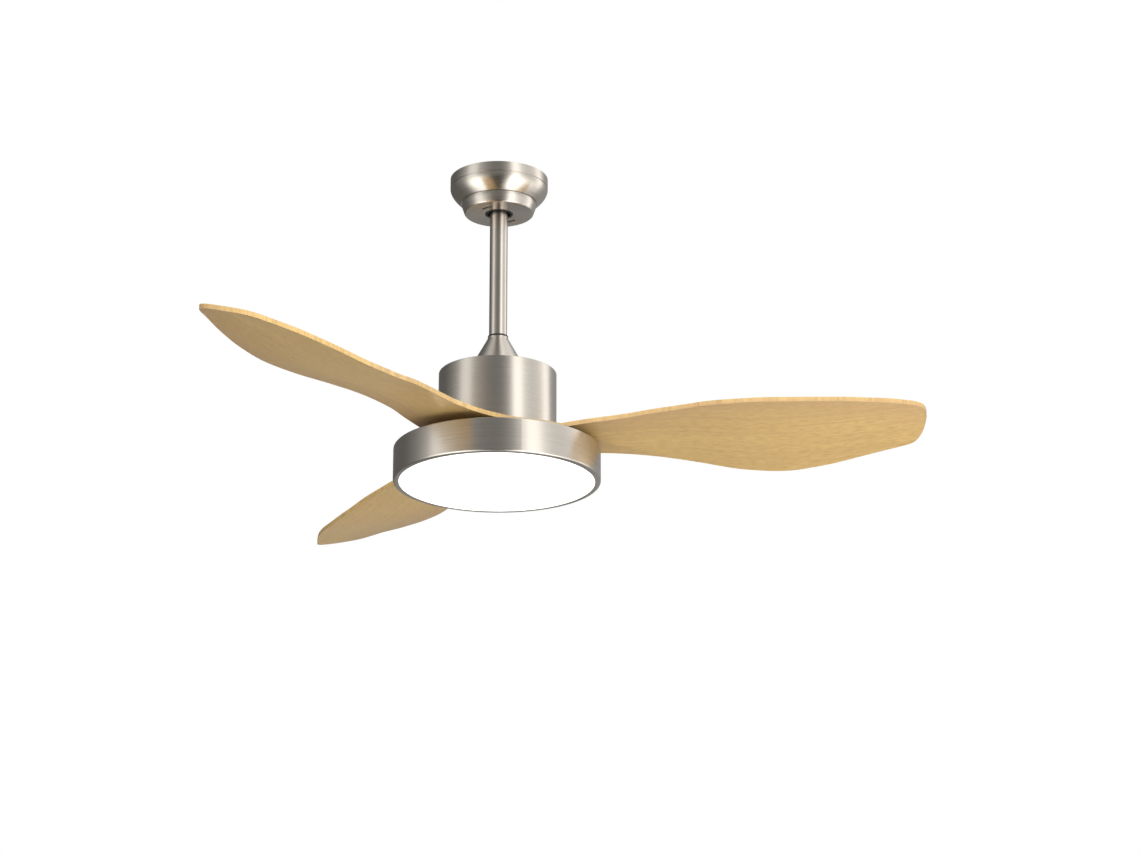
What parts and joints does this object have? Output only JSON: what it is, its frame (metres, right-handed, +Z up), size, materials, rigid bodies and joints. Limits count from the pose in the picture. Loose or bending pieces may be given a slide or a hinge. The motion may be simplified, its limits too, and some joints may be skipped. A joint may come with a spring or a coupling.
{
  "type": "ceiling fan with light",
  "caption": "Ceiling fan on a short downrod with twisted wooden blades, a brushed nickel motor cover and a flat round light below.",
  "frame": {"origin": "centre of the ceiling bracket's top face, where the fan meets the ceiling", "axes": "+Z up into the ceiling, along the rod; the ceiling bracket's legs stand at +X and -X, and the first blade points 6.2 degrees from +X towards -Y"},
  "size_m": [1.0671, 1.1572, 0.502],
  "materials": {
    "brushed_nickel": "brushed, warm grey",
    "zinc_plated_steel": "zinc plated",
    "black_rubber": "matte",
    "black_plastic": "moulded, matte",
    "lead_jacket": "smooth",
    "white_plastic": "moulded",
    "led_board": "white coated",
    "black_steel": "black coated",
    "core_steel": "stacked sheets",
    "copper_wire": "enamelled copper",
    "cast_aluminium": "die cast",
    "ferrite_magnet": "sintered",
    "blade_wood": "pale natural wood, satin",
    "opal_diffuser": "opal, lit from inside"
  },
  "bodies": {
    "ceiling_mount": {"ceiling_bracket": "zinc_plated_steel", "canopy": "brushed_nickel", "canopy_cover": "brushed_nickel", "canopy_seal": "black_rubber", "canopy_screw_1": "zinc_plated_steel", "canopy_screw_2": "zinc_plated_steel", "receiver_box": "black_plastic", "terminal_block": "white_plastic"},
    "hanger_pin": {"hanger_pin": "zinc_plated_steel"},
    "hanging_fan": {"ball_set_screw": "zinc_plated_steel", "coupling_cover": "brushed_nickel", "coupling_cover_seal": "black_rubber", "coupling_yoke": "black_steel", "cover_screw_1": "zinc_plated_steel", "cover_screw_2": "zinc_plated_steel", "cover_screw_3": "zinc_plated_steel", "diffuser": "opal_diffuser", "downrod": "brushed_nickel", "hanger_ball": "black_plastic", "lamp_bracket": "zinc_plated_steel", "lamp_pan": "brushed_nickel", "led_board": "led_board", "led_driver": "white_plastic", "led_post_1": "cast_aluminium", "led_post_2": "cast_aluminium", "led_post_3": "cast_aluminium", "motor_cover": "brushed_nickel", "motor_lead": "lead_jacket", "motor_shaft": "zinc_plated_steel", "pan_screw_1": "zinc_plated_steel", "pan_screw_2": "zinc_plated_steel", "pan_screw_3": "zinc_plated_steel", "shaft_nut": "zinc_plated_steel", "stator_core": "core_steel", "stator_winding": "copper_wire", "yoke_pin": "zinc_plated_steel", "yoke_pin_clip": "zinc_plated_steel", "yoke_set_screw": "zinc_plated_steel"},
    "rotor": {"rotor_upper_shell": "cast_aluminium", "rotor_lower_shell": "cast_aluminium", "rotor_magnets": "ferrite_magnet", "rotor_screw_1": "zinc_plated_steel", "rotor_screw_2": "zinc_plated_steel", "rotor_screw_3": "zinc_plated_steel", "upper_bearing": "zinc_plated_steel", "lower_bearing": "zinc_plated_steel", "blade_1": "blade_wood", "blade_2": "blade_wood", "blade_3": "blade_wood", "blade_screw_1_1": "zinc_plated_steel", "blade_screw_1_2": "zinc_plated_steel", "blade_screw_1_3": "zinc_plated_steel", "blade_screw_2_1": "zinc_plated_steel", "blade_screw_2_2": "zinc_plated_steel", "blade_screw_2_3": "zinc_plated_steel", "blade_screw_3_1": "zinc_plated_steel", "blade_screw_3_2": "zinc_plated_steel", "blade_screw_3_3": "zinc_plated_steel"}
  },
  "joints": [
    {"name": "swing_sideways", "type": "hinge", "parent": "ceiling_mount", "child": "hanger_pin", "pos_m": [0, 0, -0.034], "axis": [0, 1, 0], "range_deg": [-4, 4]},
    {"name": "swing_forward", "type": "hinge", "parent": "hanger_pin", "child": "hanging_fan", "pos_m": [0, 0, -0.034], "axis": [1, 0, 0], "range_deg": [-4, 4]},
    {"name": "rotor_spin", "type": "hinge", "parent": "hanging_fan", "child": "rotor", "pos_m": [0, 0, -0.388], "axis": [0, 0, -1], "continuous": true}
  ]
}
